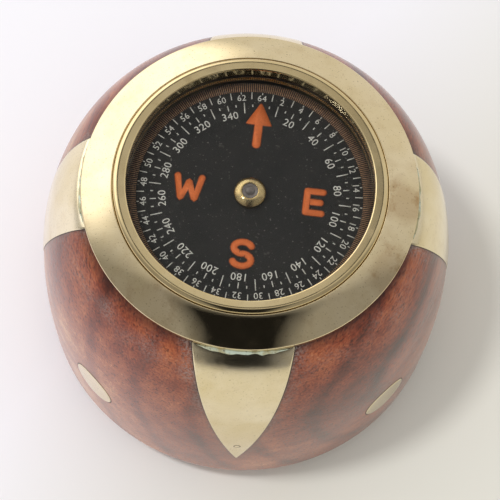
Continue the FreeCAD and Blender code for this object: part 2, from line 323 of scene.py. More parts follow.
def cardMaterial():
    c = cardFinish
    dust, lint = c["dust"], c["lint"]
    material, tree, shader, coords = startMaterial("cardBlack", {
        "Roughness": 0.7, "Specular IOR Level": 0.2})
    dustMask = addNode(
        tree, "MapRange", addNode(tree, "TexNoise", coords, dust["scale"], 1.0, 0.4), 0.70, 0.78)
    lintMask = addNode(
        tree, "MapRange", addNode(tree, "TexNoise", coords, lint["scale"], 2.0, 0.5), 0.69, 0.76)
    haze = addNode(tree, "TexNoise", coords, c["hazeScale"], 4.0, 0.6)
    colour = addNode(
        tree, "Mix", addNode(tree, "MapRange", haze, 0.3, 0.7), srgb(c["black"]), srgb(c["worn"]),
        data_type="RGBA")
    colour = addNode(
        tree, "Mix", addNode(tree, "Math", dustMask, dust["amount"], operation="MULTIPLY"), colour,
        srgb(dust["colour"]), data_type="RGBA")
    colour = addNode(
        tree, "Mix", addNode(tree, "Math", lintMask, lint["amount"], operation="MULTIPLY"), colour,
        srgb(lint["colour"]), data_type="RGBA")
    tree.links.new(colour, shader.inputs["Base Color"])
    spray = addNode(tree, "TexNoise", coords, c["sprayScale"], 2.0, 0.6)
    tree.links.new(
        addNode(tree, "Bump", Height=spray, Strength=0.08, Distance=c["sprayRelief"]),
        shader.inputs["Normal"])
    return material


# Screen printing ink: flat and thin, a little uneven where it has worn.
def inkMaterial(name, base, worn):
    material, tree, shader, coords = startMaterial(name, {
        "Roughness": 0.55, "Specular IOR Level": 0.35})
    grit = addNode(tree, "MapRange", addNode(tree, "TexNoise", coords, 2600, 3.0, 0.7), 0.35, 0.7)
    colour = addNode(tree, "Mix", grit, srgb(base), srgb(worn), data_type="RGBA")
    tree.links.new(colour, shader.inputs["Base Color"])
    tree.links.new(
        addNode(tree, "Bump", Height=grit, Strength=0.15, Distance=0.02 * mm), shader.inputs["Normal"])
    return material


# Window glass: clear, flat, with a trace of smears; shadows and diffuse light pass through it.
glass = {"clean": "#fbfdfb", "smeared": "#f4f6f4", "smearScale": 220, "ior": 1.46}


def glassMaterial():
    material, tree, shader, coords = startMaterial("crystalGlass", {
        "Roughness": 0.0, "Transmission Weight": 1.0, "IOR": glass["ior"]})
    smear = addNode(
        tree, "MapRange", addNode(tree, "TexNoise", coords, glass["smearScale"], 3.0, 0.6), 0.3, 0.8)
    colour = addNode(tree, "Mix", smear, srgb(glass["clean"]), srgb(glass["smeared"]), data_type="RGBA")
    tree.links.new(colour, shader.inputs["Base Color"])
    path = tree.nodes.new("ShaderNodeLightPath").outputs
    through = addNode(tree, "Math", path["Is Shadow Ray"], path["Is Diffuse Ray"], operation="MAXIMUM")
    clear = addNode(tree, "BsdfTransparent")
    output = [n for n in tree.nodes if n.type == "OUTPUT_MATERIAL"][0]
    both = addNode(tree, "MixShader", through, shader.outputs[0], clear)
    tree.links.new(both, output.inputs["Surface"])
    return material


# Soft solder: lumpy and dull, gone pale green where the flux was left on it.
solderFinish = {"metal": "#b9b28a", "bloom": "#cfdccb", "dirt": "#3d3826", "relief": 0.15 * mm}


def solderMaterial():
    f = solderFinish
    material, tree, shader, coords = startMaterial("bloomedSolder", {
        "Metallic": 0.35, "Roughness": 0.5})
    lumps = addNode(tree, "TexNoise", coords, 900, 4.0, 0.65)
    bloom = addNode(tree, "MapRange", addNode(tree, "TexNoise", coords, 420, 3.0, 0.6), 0.42, 0.6)
    dirt = addNode(tree, "MapRange", addNode(tree, "TexNoise", coords, 1500, 2.0, 0.5), 0.58, 0.68)
    colour = addNode(tree, "Mix", bloom, srgb(f["metal"]), srgb(f["bloom"]), data_type="RGBA")
    colour = addNode(
        tree, "Mix", addNode(tree, "Math", dirt, 0.8, operation="MULTIPLY"), colour, srgb(f["dirt"]),
        data_type="RGBA")
    tree.links.new(colour, shader.inputs["Base Color"])
    tree.links.new(
        addNode(tree, "Bump", Height=lumps, Strength=0.7, Distance=f["relief"]), shader.inputs["Normal"])
    return material


wood = padaukMaterial()
# The collar is buffed brightest, so it mirrors the room; its waves bend what it mirrors.
collarBrass = brassMaterial(
    "polishedBrass", "#ecdab4", 0.055, tarnishes["collar"], 0.35, 0.3, collarBrownPatches)
# Leaves and dots were filed flush and rubbed with the wood: pale, with a soft satin gloss.
leafBrass = brassMaterial("leafBrass", "#f2e4c6", 0.15, tarnishes["leaf"], 0.35, 0.2)
# The bezel and seat were turned and left alone behind the glass: warm, even, hardly pitted.
innerBrass = brassMaterial("bezelBrass", "#e6d1a2", 0.12, tarnishes["bezel"], 0.08, 0.05)
# The spun cup was never polished: dull, brown and dark.
cupBrass = brassMaterial("spunBrass", "#a8844a", 0.28, tarnishes["cup"], 0.1, 0.05)
# The little hub was turned and wiped: satin, with brown in the corners.
hubBrass = brassMaterial("turnedBrass", "#dcc596", 0.17, tarnishes["hub"], 0.2, 0.08)
cardBlack = cardMaterial()
whiteInk = inkMaterial("whiteInk", "#cfccc3", "#a5a29a")
orangeInk = inkMaterial("orangeInk", "#c8652f", "#b55a2a")
rustInk = inkMaterial("rustInk", "#70351b", "#5a2a16")
brownInk = inkMaterial("brownInk", "#9c7450", "#5c4230")
crystal = glassMaterial()
# Polished smoky glass: dark grey-brown with one sharp highlight.
jewelGlass = plainDetail("jewelGlass", {"Roughness": 0.15, "Coat Weight": 1.0},
                         "#6b605a", "#48413e", 900, 0.1, 0.03 * mm)
solder = solderMaterial()
# Ground needle steel: grey, with a fine satin.
steel = plainDetail("groundSteel", {"Metallic": 1.0, "Roughness": 0.25},
                    "#b9babd", "#9c9da1", 1800, 0.2, 0.02 * mm)
# Magnet steel straight from the saw: dark and dull.
magnetSteel = plainDetail("magnetSteel", {"Metallic": 1.0, "Roughness": 0.4},
                          "#6a6a6c", "#4c4c50", 1200, 0.3, 0.03 * mm)
# Oiled fibre packing: nearly black, no gloss.
packing = plainDetail("darkPacking", {"Roughness": 0.8}, "#2b2019", "#1a130f", 1500, 0.4, 0.05 * mm)
# Stopping wax in the gaps round the brass: a dark line that has caught some pale dust.
gapWax = plainDetail("gapWax", {"Roughness": 0.45}, "#2a1712", "#4a3a30", 1800, 0.5, 0.05 * mm)
# Green wool baize, felted: soft, with no gloss; its nap is about 0.2 mm.
baize = plainDetail("greenBaize", {"Roughness": 0.95, "Sheen Weight": 0.4},
                    "#1f4d2e", "#173a23", 2600, 0.8, 0.3 * mm)
print("materials made")


# Mesh helpers

# One finished piece: its mesh, material, body and the nodes of the frame it stands for
def finishMesh(name, mesh, material, body, nodes):
    mesh.materials.clear()
    mesh.materials.append(material)
    for face in mesh.polygons:
        face.use_smooth = True
    piece = bpy.data.objects.new(name, mesh)
    bpy.context.scene.collection.objects.link(piece)
    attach(piece, body)
    if nodes:
        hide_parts(*nodes)
    return piece


def meshFrom(bm, merge=1e-7):
    bmesh.ops.remove_doubles(bm, verts=bm.verts, dist=merge)
    bmesh.ops.recalc_face_normals(bm, faces=bm.faces)
    mesh = bpy.data.meshes.new("mesh")
    bm.to_mesh(mesh)
    bm.free()
    return mesh


# Corners are (radius, height, fillet); each fillet is an arc held by a guard point on both sides.
def rounded(corners, steps=5):
    guard = 1.12
    longest = 0.45  # share of a side that a fillet may take
    out = []
    count = len(corners)
    for i, (r, z, fillet) in enumerate(corners):
        here = Vector((r, z))
        before = Vector(corners[i - 1][:2]) - here
        after = Vector(corners[(i + 1) % count][:2]) - here
        if fillet <= 0 or before.length == 0 or after.length == 0:
            out.append(here)
            continue
        half = before.angle(after) / 2
        cut = min(fillet / math.tan(half), before.length * longest, after.length * longest)
        start = here + before.normalized() * cut
        end = here + after.normalized() * cut
        weight = math.sin(half)
        out.append(here + before.normalized() * cut * guard)
        for k in range(steps + 1):
            t = k / steps
            a, b, c = (1 - t) ** 2, 2 * t * (1 - t) * weight, t * t
            out.append((start * a + here * b + end * c) / (a + b + c))
        out.append(here + after.normalized() * cut * guard)
    return out


# A closed line of (radius, height) turned about Z; a point on the axis is one vertex.
def spun(profile, segments=256):
    bm = bmesh.new()
    turns = [2 * math.pi * k / segments for k in range(segments)]
    rings = []
    for r, z in profile:
        if r < 1e-7:
            rings.append([bm.verts.new((0, 0, z))] * segments)
        else:
            rings.append([bm.verts.new((r * math.cos(a), r * math.sin(a), z)) for a in turns])
    for low, high in zip(rings, rings[1:] + rings[:1]):
        for k in range(segments):
            n = (k + 1) % segments
            corners = []
            for vert in (low[k], low[n], high[n], high[k]):
                if vert not in corners:
                    corners.append(vert)
            if len(corners) > 2:
                bm.faces.new(corners)
    return meshFrom(bm)


# Dome: the same line as the wood's flank in the frame
dome = {
    "rimInset": 0.1 * mm,
    "slope": math.radians(37),  # how steeply the shoulder leaves the collar
    "shoulderPull": 14 * mm,
    "flankPull": 9 * mm,
    "bellyHeight": 7 * mm,
    "footTuck": 6.9 * mm,
    "padProud": 0.4 * mm,
    "padMargin": 3 * mm,
    "boreInset": 5.95 * mm,  # from the collar's edge in to the bore
    # how far the dark reaches: dirt out from the leaves, painted shade down from the collar's edge
    "grimeAndShadeReach": {"leaf": 0.9, "collar": 1.6},  # mm
    "residueReach": {"leaf": 3.2, "collar": 5.0},  # mm
    "rows": 90,
    "segments": 420,
}
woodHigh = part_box("wood_body")[1]
collarLow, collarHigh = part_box("collar_ring")
bezelLow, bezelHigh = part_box("bezel_ring")
cupLow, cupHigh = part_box("housing_cup")
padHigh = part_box("base_pad")[1]
rimHeight = collarLow.z
rimRadius = collarHigh.x - dome["rimInset"]
bellyRadius = woodHigh.x
rimPoint = Vector((rimRadius, rimHeight))
bellyPoint = Vector((bellyRadius, dome["bellyHeight"]))
rimHandle = rimPoint + Vector((math.cos(dome["slope"]), -math.sin(dome["slope"]))) * dome["shoulderPull"]
bellyHandle = bellyPoint + Vector((0, dome["flankPull"]))


# The flank as (radius, height), from the rim at 0 to the belly at 1
def flankAt(t):
    s = 1 - t
    return rimPoint * s ** 3 + rimHandle * 3 * s * s * t + bellyHandle * 3 * s * t * t + bellyPoint * t ** 3


def domeRadius(z):
    low, high = 0.0, 1.0
    for _ in range(40):
        middle = (low + high) / 2
        if flankAt(middle).y > z:
            low = middle
        else:
            high = middle
    return flankAt(low).x


leaf = {
    "halfWidth": 9.3 * mm,
    "bulge": 0.9 * mm,  # how far a side bows out from a straight line
    "proud": 0.15 * mm,
    "inset": 1.2 * mm,
    "edge": 0.16 * mm,
    "topGap": 0.02 * mm,
    "rows": 72,
    "names": ("front", "right", "back", "left"),
}
leafTop = rimHeight
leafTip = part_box("inlay_leaf_front")[0].z


# Half the leaf's width at a height; both sides are arcs
def leafHalf(z, grow=0.0):
    base, tip = leaf["halfWidth"] + grow, leafTip - grow
    height = leafTop - tip
    chord = math.hypot(base, height)
    sagitta = leaf["bulge"] * height / chord
    radius = (chord * chord / 4 + sagitta * sagitta) / (2 * sagitta)
    middle = Vector((base / 2, (leafTop + tip) / 2))
    inward = Vector((-height, base)).normalized()
    centre = middle + inward * (radius - sagitta)
    return centre.x + math.sqrt(max(radius ** 2 - (z - centre.y) ** 2, 0))


# How far a point of the wood is from the nearest leaf, below 0 inside it
def leafDistance(point):
    best = 1.0
    for k in range(4):
        turned = Matrix.Rotation(-k * math.pi / 2, 3, "Z") @ point
        if turned.y > 0:
            continue
        if point.z > leafTip:
            best = min(best, abs(turned.x) - leafHalf(min(point.z, leafTop)))
        else:
            best = min(best, math.hypot(turned.x, leafTip - point.z))
    return best


# The dark attribute is dirt along the leaves plus painted shade just under the collar's edge; "residue" is
# pale dried polish a little further out.
def buildWood():
    d = dome
    count = d["rows"]
    boreTop = collarHigh.x - 6.0 * mm
    profile = [Vector((boreTop, rimHeight)), Vector((rimRadius - 0.3 * mm, rimHeight))]
    profile += [flankAt(k / count) for k in range(count + 1)]
    footRadius = bellyRadius - d["footTuck"]
    run, drop = d["footTuck"], d["bellyHeight"] - d["padProud"]
    footSteps = 16
    for k in range(1, footSteps + 1):
        a = math.pi / 2 * k / footSteps
        profile.append(Vector((footRadius + run * math.cos(a), d["bellyHeight"] - drop * math.sin(a))))
    padRadius = footRadius - d["padMargin"]
    profile += [Vector((padRadius, d["padProud"])), Vector((padRadius, padHigh.z))]
    profile += [Vector((0, padHigh.z)), Vector((0, cupLow.z))]
    profile.append(Vector((collarHigh.x - d["boreInset"], cupLow.z)))
    mesh = spun(profile, d["segments"])
    grimeAndShadeReach, residueReach = d["grimeAndShadeReach"], d["residueReach"]
    grimeAndShadeLayer = mesh.attributes.new("grimeAndCollarShade", "FLOAT", "POINT")
    residueLayer = mesh.attributes.new("residue", "FLOAT", "POINT")
    for vert in mesh.vertices:
        point = vert.co
        away = leafDistance(point) / mm
        under = (rimHeight - point.z) / mm
        patchy = noise.noise(point * 260) * 0.5 + 0.5
        dirtLeaf = max(0.0, 1 - max(away, 0) / grimeAndShadeReach["leaf"]) * 0.7
        # painted shade: the wood just under the collar's overhanging edge is darkened
        collarShade = max(0.0, 1 - max(under, 0) / grimeAndShadeReach["collar"]) * 0.9
        grimeAndShadeLayer.data[vert.index].value = dirtLeaf + collarShade
        nearLeaf = max(0.0, 1 - max(away - 0.2, 0) / residueReach["leaf"]) * (0.35 + patchy)
        nearCollar = max(0.0, 1 - abs(under - 4.5) / residueReach["collar"])
        nearCollar *= max(0.0, patchy * 1.9 - 0.55)
        residueLayer.data[vert.index].value = min(1.0, nearLeaf * 0.9 + nearCollar * 0.75)
    return mesh


finishMesh("WoodDome", buildWood(), wood, "case", ["wood_body"])
print("wood turned")


# Turned rings and discs
turnedSizes = {
    "edge": 1.5 * mm,  # the collar's upright edge
    "crown": 0.25 * mm,  # how much the collar's cone is domed
    "bezelRound": 0.9 * mm,
    "lipDrop": 0.3 * mm,
    "mouthInset": 2.05 * mm,  # the glass opening, in from the cup's outside
    "fit": 0.05 * mm,
    "cupWall": 0.8 * mm,
    "cupFloor": 1.0 * mm,
}
mouthRadius = cupHigh.x - turnedSizes["mouthInset"]


def collarProfile():
    s = turnedSizes
    bore = bezelHigh.x + s["fit"]
    outer, low, top = collarHigh.x, collarLow.z, collarHigh.z
    edgeTop = low + s["edge"]
    crest = []
    crestSteps = 12
    for k in range(1, crestSteps):
        t = k / crestSteps
        lift = s["crown"] * 4 * t * (1 - t)
        crest.append((outer + (bore - outer) * t, edgeTop + (top - edgeTop) * t + lift, 0))
    corners = [(bore, low, 0), (outer, low, 0.3 * mm), (outer, edgeTop, 0.38 * mm)]
    corners += crest + [(bore, top, 0.28 * mm)]
    return rounded(corners)


def bezelProfile():
    s = turnedSizes
    outer, top, low = bezelHigh.x, bezelHigh.z, bezelLow.z
    lipTop = top - s["lipDrop"]
    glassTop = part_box("glass_crystal")[1].z
    rebate = cupHigh.x + s["fit"]
    return rounded([
        (outer, low, 0.05 * mm), (outer, top, s["bezelRound"]), (mouthRadius, lipTop, 0.3 * mm),
        (mouthRadius, glassTop, 0.1 * mm), (rebate, glassTop, 0), (rebate, low, 0.05 * mm)], 8)


def ringProfile(node, inner, fillet):
    low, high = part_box(node)
    return rounded([(inner, low.z, fillet), (high.x, low.z, fillet),
                    (high.x, high.z, fillet), (inner, high.z, fillet)])


def discProfile(node, fillet):
    low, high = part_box(node)
    return rounded([(0, low.z, 0), (high.x, low.z, fillet),
                    (high.x, high.z, fillet), (0, high.z, 0)])


def cupProfile():
    inner = cupHigh.x - turnedSizes["cupWall"]
    floor = cupLow.z + turnedSizes["cupFloor"]
    return rounded([
        (0, cupLow.z, 0), (cupHigh.x, cupLow.z, 0.8 * mm), (cupHigh.x, cupHigh.z, 0.1 * mm),
        (inner, cupHigh.z, 0.1 * mm), (inner, floor, 0.5 * mm), (0, floor, 0)])


# Hub: a short wall, then a low cone up to the jewel's mouth; heights stand on the card
hub = {"stem": 1.9 * mm, "wallDrop": 0.72 * mm, "step": 0.1 * mm, "inset": 0.09 * mm,
       "neck": 0.05 * mm, "neckHeight": 0.3 * mm, "skirt": 0.36 * mm, "coneSteps": 6}


def hubProfile():
    h = hub
    low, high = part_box("card_hub")
    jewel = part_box("hub_jewel")[1].x
    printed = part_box("dial_card")[1].z
    wall = high.z - h["wallDrop"]
    coneOut, coneLow = high.x - h["inset"], wall + h["step"]
    cone = []
    for k in range(h["coneSteps"] + 1):
        t = k / h["coneSteps"]
        rise = math.sin(math.pi / 2 * t) ** 0.9
        cone.append((coneOut + (jewel - coneOut) * t, coneLow + (high.z - coneLow) * rise, 0))
    neck = high.x - h["neck"]
    corners = [
        (jewel, low.z, 0), (h["stem"], low.z, 0), (h["stem"], printed, 0), (neck, printed, 0.05 * mm),
        (neck, printed + h["neckHeight"], 0.03 * mm), (high.x, printed + h["skirt"], 0.03 * mm),
        (high.x, wall, 0.05 * mm)]
    return rounded(corners + cone + [(jewel, high.z - 0.12 * mm, 0)])


# Jewel: a ground rim, a groove, and a round button in the middle
jewelSizes = {"rimDrop": 0.32 * mm, "dip": 0.42 * mm, "button": 0.85 * mm, "cup": 1.0 * mm,
              "step": 0.1 * mm, "groove": 0.12 * mm, "buttonSteps": 8}


def jewelProfile():
    j = jewelSizes
    low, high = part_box("hub_jewel")
    rim, dip, button = high.z - j["rimDrop"], high.z - j["dip"], j["button"]
    bulge = []
    for k in range(j["buttonSteps"]):
        a = math.pi / 2 * k / j["buttonSteps"]
        rise = (high.z - dip - j["step"]) * math.sin(a)
        bulge.append((button * math.cos(a), dip + j["step"] + rise, 0))
    corners = [
        (0, low.z + j["cup"], 0), (j["cup"], low.z, 0), (high.x, low.z, 0), (high.x, rim, 0.1 * mm),
        (button + j["groove"], dip, 0.05 * mm), (button, dip, 0.05 * mm)]
    return rounded(corners + bulge + [(0, high.z, 0)])


smallRound = 0.12 * mm
turned = (
    ("CollarFlange", collarProfile(), 320, collarBrass, "case", "polished_brass", "collar_ring"),
    ("BezelRing", bezelProfile(), 320, innerBrass, "case", "polished_brass", "bezel_ring"),
    ("GlassSeatRing", ringProfile("glass_seat_ring", mouthRadius, smallRound), 256, innerBrass,
     "case", "polished_brass", "glass_seat_ring"),
    ("HousingCup", cupProfile(), 256, cupBrass, "case", "spun_brass", "housing_cup"),
    ("CrystalGlass", discProfile("glass_crystal", smallRound), 192, crystal,
     "case", "crystal_glass", "glass_crystal"),
    ("BaizePad", discProfile("base_pad", 0.2 * mm), 192, baize, "case", "baize", "base_pad"),
    ("CardDisc", discProfile("dial_card", 0.08 * mm), 256, cardBlack, "card", "card_black", "dial_card"),
    ("HubCap", hubProfile(), 128, hubBrass, "card", "hub_brass", "card_hub"),
    ("HubJewel", jewelProfile(), 96, jewelGlass, "card", "jewel_glass", "hub_jewel"),
)
for name, profile, segments, material, body, slot, node in turned:
    finishMesh(name, spun(profile, segments), material, body, [node])
print("rings and discs turned")


# Brass let into the wood. A point on the dome's front, at x and z, a little above its skin
def onDome(x, z, grow):
    radius = domeRadius(z) + grow
    return Vector((x, -math.sqrt(max(radius * radius - x * x, 0)), z))


# Two grids of points, outer and inner skin, joined round their edge
def closedPatch(outer, inner):
    bm = bmesh.new()
    faces = []
    grids = [[[bm.verts.new(p) for p in row] for row in grid] for grid in (outer, inner)]
    for grid in grids:
        for low, high in zip(grid, grid[1:]):
            for k in range(len(low) - 1):
                faces.append((low[k], low[k + 1], high[k + 1], high[k]))
    rim = []
    for grid in grids:
        loop = list(grid[0]) + [row[-1] for row in grid[1:]]
        loop += list(reversed(grid[-1][:-1])) + [row[0] for row in reversed(grid[1:-1])]
        rim.append(loop)
    for k in range(len(rim[0])):
        n = (k + 1) % len(rim[0])
        faces.append((rim[0][k], rim[0][n], rim[1][n], rim[1][k]))
    for corners in faces:
        bm.faces.new(corners)
    bmesh.ops.remove_doubles(bm, verts=bm.verts, dist=1e-7)
    bmesh.ops.dissolve_degenerate(bm, dist=1e-8, edges=bm.edges)
    return meshFrom(bm)


# How far an edge has rolled down at a distance from the rim: a quarter round
def rolled(edge, fromEdge):
    return edge * (1 - math.sqrt(max(1 - (1 - min(fromEdge / edge, 1)) ** 2, 0)))


def leafMesh(grow, sink, spreadOut, edge):
    rows = leaf["rows"]
    crossing = [0.25, 0.5, 0.75, 0.9, 0.96, 0.99, 1]  # closer together at the edge
    shares = [-share for share in reversed(crossing)] + [0] + crossing
    tip = leafTip - spreadOut
    outer, inner = [], []
    for k in range(rows + 1):
        t = k / rows
        z = leafTop - leaf["topGap"] + (tip - leafTop) * (1 - (1 - t) ** 1.25)
        half = max(leafHalf(max(z, tip), spreadOut), 0.0)
        line, back = [], []
        for share in shares:
            fromEdge = min((1 - abs(share)) * half, max(z - leafTip + spreadOut, 0) * 0.4)
            line.append(onDome(share * half, z, grow - rolled(edge, fromEdge)))
            back.append(onDome(share * half, z, -sink))
        outer.append(line)
        inner.append(back)
    return closedPatch(outer, inner)


def roundPatch(radius, height, grow, sink, edge, rings=10, segments=64):
    bm = bmesh.new()
    centre = bm.verts.new(onDome(0, height, grow))
    last = None
    shares = [0.3, 0.6, 0.85] + [1 - edge / radius * (1 - k / rings) for k in range(rings + 1)]
    levels = [(share, grow - rolled(edge, (1 - share) * radius)) for share in shares]
    for share, level in levels + [(1.0, -sink)]:
        loop = []
        for k in range(segments):
            a = 2 * math.pi * k / segments
            x, z = share * radius * math.cos(a), height + share * radius * math.sin(a)
            loop.append(bm.verts.new(onDome(x, z, level)))
        for k in range(segments):
            n = (k + 1) % segments
            if last is None:
                bm.faces.new((centre, loop[k], loop[n]))
            else:
                bm.faces.new((last[k], last[n], loop[n], loop[k]))
        last = loop
    bm.faces.new(last)
    return meshFrom(bm)


def turnedCopy(mesh, turns):
    copy = mesh.copy()
    copy.transform(Matrix.Rotation(math.radians(turns), 4, "Z"))
    return copy


def joined(meshes):
    bm = bmesh.new()
    for mesh in meshes:
        bm.from_mesh(mesh)
    out = bpy.data.meshes.new("mesh")
    bm.to_mesh(out)
    bm.free()
    return out


# The same mesh four times round the case, the first turned by start degrees
def fourOf(mesh, start=0):
    return [turnedCopy(mesh, start + 90 * k) for k in range(4)]


dots = {"names": ("front_right", "back_right", "back_left", "front_left"), "radius": 5.1 * mm,
        "proud": 0.12 * mm, "sink": 1.0 * mm, "edge": 0.3 * mm}
pinSizes = {"radius": 0.6 * mm, "above": 9 * mm, "proud": 0.035 * mm, "ring": 0.13 * mm,
            "ringProud": 0.012 * mm, "segments": 24}
seams = {"leafGap": 0.16 * mm, "dotGap": 0.12 * mm, "proud": 0.035 * mm, "sink": 0.5 * mm}
dotLow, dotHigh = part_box("inlay_dot_front_right")
dotHeight = (dotLow.z + dotHigh.z) / 2
pinHeight = leafTip + pinSizes["above"]

oneLeaf = leafMesh(leaf["proud"], leaf["inset"], 0.0, leaf["edge"])
for name, mesh in zip(leaf["names"], fourOf(oneLeaf)):
    finishMesh("Leaf_" + name, mesh, leafBrass, "case", ["inlay_leaf_" + name])
oneDot = roundPatch(dots["radius"], dotHeight, dots["proud"], dots["sink"], dots["edge"])
for name, mesh in zip(dots["names"], fourOf(oneDot, 45)):
    finishMesh("Dot_" + name, mesh, leafBrass, "case", ["inlay_dot_" + name])
onePin = roundPatch(pinSizes["radius"], pinHeight, leaf["proud"] + pinSizes["proud"], 3 * mm,
                    0.12 * mm, 5, pinSizes["segments"])
finishMesh("LeafPins", joined(fourOf(onePin)), leafBrass, "case", ["leaf_pins"])

# The dark lines round leaves, dots and pins are one thin sheet of wax under each.
leafGapMesh = leafMesh(seams["proud"], seams["sink"], seams["leafGap"], 0.03 * mm)
dotGapMesh = roundPatch(dots["radius"] + seams["dotGap"], dotHeight, seams["proud"], seams["sink"],
                        0.05 * mm, 2)
pinGapMesh = roundPatch(pinSizes["radius"] + pinSizes["ring"], pinHeight,
                        leaf["proud"] + pinSizes["ringProud"], 1 * mm, 0.03 * mm, 2, pinSizes["segments"])
gaps = fourOf(leafGapMesh) + fourOf(dotGapMesh, 45) + fourOf(pinGapMesh)
finishMesh("InlayGapWax", joined(gaps), gapWax, "case", [])
print("brass inlaid")


# Solder run along the corner between each leaf and the collar
beads = {
    "reach": math.radians(15.5),  # half the angle that a run covers
    "steps": 60,
    "around": 10,
    "thick": 0.62 * mm,
    "out": 0.10 * mm,  # the run's middle, from the collar's lower edge
    "down": 0.05 * mm,
}


# The lumps come from smooth noise, with seed giving each leaf its own.
def beadMesh(seed):
    bm = bmesh.new()
    rings = []
    count = beads["steps"]
    for k in range(count + 1):
        share = 2 * k / count - 1
        angle = -math.pi / 2 + share * beads["reach"]
        lump = noise.noise(Vector((share * 5.1, seed * 3.7, 0.4)))
        swell = max(1 - abs(share) ** 3, 0.02) * (0.72 + 0.75 * lump + 0.22 * abs(share))
        size = beads["thick"] * max(swell, 0.03)
        ring = []
        for n in range(beads["around"]):
            a = 2 * math.pi * n / beads["around"]
            fine = 1 + 0.18 * noise.noise(Vector((share * 22, n * 0.9, seed)))
            radius = collarHigh.x + beads["out"] + size * 0.8 * math.cos(a) * fine
            z = rimHeight - beads["down"] + size * math.sin(a) * fine
            ring.append(bm.verts.new((radius * math.cos(angle), radius * math.sin(angle), z)))
        rings.append(ring)
    for low, high in zip(rings, rings[1:]):
        for n in range(beads["around"]):
            m = (n + 1) % beads["around"]
            bm.faces.new((low[n], low[m], high[m], high[n]))
    bm.faces.new(rings[0])
    bm.faces.new(rings[-1])
    return meshFrom(bm)


runs = [turnedCopy(beadMesh(k), 90 * k) for k in range(4)]
finishMesh("SolderSeams", joined(runs), solder, "case", ["solder_seams"])
print("solder run")


# Card printing. Rings of ticks: how many, and outer radius, length and width in mm
dial = {
    "heading": math.radians(-4.5),
    "lift": 0.015 * mm,
    "inkHeight": 0.03 * mm,
    "figureSpacing": 1.06,
    "fine": {"count": 360, "outer": 23.25, "length": 1.85, "width": 0.15},
    "milLong": {"count": 32, "outer": 21.3, "length": 1.45, "width": 0.18},
    "milShort": {"count": 32, "outer": 21.3, "length": 0.42, "width": 0.18},
    "tens": {"count": 18, "outer": 19.1, "length": 2.25, "width": 0.19},
    "twenties": {"count": 17, "outer": 18.8, "length": 1.15, "width": 0.19},
    "fives": {"count": 36, "outer": 18.7, "length": 0.5, "width": 0.2},
    "milFigure": {"radius": 20.05, "size": 1.75},
    "degreeFigure": {"radius": 16.45, "size": 2.1},
    "stroke": 1.16,  # width of a letter's strokes, mm
    "edge": 0.32,  # how much wider the rust print under it is, mm
}
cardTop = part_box("dial_card")[1].z


def marksTree():
    tree = bpy.data.node_groups.new("dialMarks", "GeometryNodeTree")
    tree.interface.new_socket("Geometry", in_out="OUTPUT", socket_type="NodeSocketGeometry")
    kinds = {"Count": "NodeSocketInt", "Material": "NodeSocketMaterial"}
    for name in (
        "Count", "Start", "Step", "Outer Radius", "Length", "Width", "Height", "Level", "Material"):
        tree.interface.new_socket(name, in_out="INPUT", socket_type=kinds.get(name, "NodeSocketFloat"))
    given = tree.nodes.new("NodeGroupInput").outputs
    index = addNode(tree, "GeometryNodeInputIndex")
    turn = addNode(
        tree, "Math", addNode(tree, "Math", index, given["Step"], operation="MULTIPLY"), given["Start"],
        operation="ADD")
    middle = addNode(
        tree, "Math", given["Outer Radius"],
        addNode(tree, "Math", given["Length"], 0.5, operation="MULTIPLY"), operation="SUBTRACT")
    place = addNode(
        tree, "CombineXYZ",
        X=addNode(
            tree, "Math", addNode(tree, "Math", turn, operation="SINE"), middle, operation="MULTIPLY"),
        Y=addNode(
            tree, "Math", addNode(tree, "Math", turn, operation="COSINE"), middle, operation="MULTIPLY"),
        Z=given["Level"])
    points = addNode(tree, "GeometryNodePoints", Count=given["Count"], Position=place)
    size = addNode(tree, "CombineXYZ", X=given["Width"], Y=given["Length"], Z=given["Height"])
    block = addNode(tree, "GeometryNodeMeshCube", Size=size)
    spin = addNode(tree, "CombineXYZ", Z=addNode(tree, "Math", turn, -1.0, operation="MULTIPLY"))
    copies = addNode(tree, "GeometryNodeInstanceOnPoints", Points=points, Instance=block, Rotation=spin)
    solid = addNode(tree, "GeometryNodeRealizeInstances", Geometry=copies)
    painted = addNode(tree, "GeometryNodeSetMaterial", Geometry=solid, Material=given["Material"])
    output = tree.nodes.new("NodeGroupOutput")
    tree.links.new(painted, output.inputs["Geometry"])
    return tree


# The tree's result as a plain mesh
def grown(tree, values):
    holder = bpy.data.objects.new("holder", bpy.data.meshes.new("holder"))
    bpy.context.scene.collection.objects.link(holder)
    modifier = holder.modifiers.new("marks", "NODES")
    modifier.node_group = tree
    for item in tree.interface.items_tree:
        if item.in_out == "INPUT":
            modifier[item.identifier] = values[item.name]
    shown = bpy.context.evaluated_depsgraph_get()
    mesh = bpy.data.meshes.new_from_object(holder.evaluated_get(shown))
    holder.modifiers.clear()
    bpy.data.objects.remove(holder)
    return mesh


marks = marksTree()


def marksMesh(kind, start, step, material):
    sizes = dial[kind]
    return grown(marks, {
        "Count": sizes["count"], "Start": math.radians(start), "Step": math.radians(step),
        "Outer Radius": sizes["outer"] * mm, "Length": sizes["length"] * mm,
        "Width": sizes["width"] * mm, "Height": dial["inkHeight"],
        "Level": cardTop + dial["lift"], "Material": material})


def figureMesh(words, angle, sizes):
    curve = bpy.data.curves.new("figure", "FONT")
    curve.body = words
    curve.size = sizes["size"] * mm
    curve.align_x = "CENTER"
    curve.align_y = "CENTER"
    curve.extrude = dial["inkHeight"] / 2
    curve.resolution_u = 3
    curve.space_character = dial["figureSpacing"]
    holder = bpy.data.objects.new("figure", curve)
    bpy.context.scene.collection.objects.link(holder)
    shown = bpy.context.evaluated_depsgraph_get()
    mesh = bpy.data.meshes.new_from_object(holder.evaluated_get(shown))
    bpy.data.objects.remove(holder)
    upright = Matrix.Translation((0, sizes["radius"] * mm, cardTop + dial["lift"]))
    mesh.transform(Matrix.Rotation(-math.radians(angle), 4, "Z") @ upright)
    return mesh


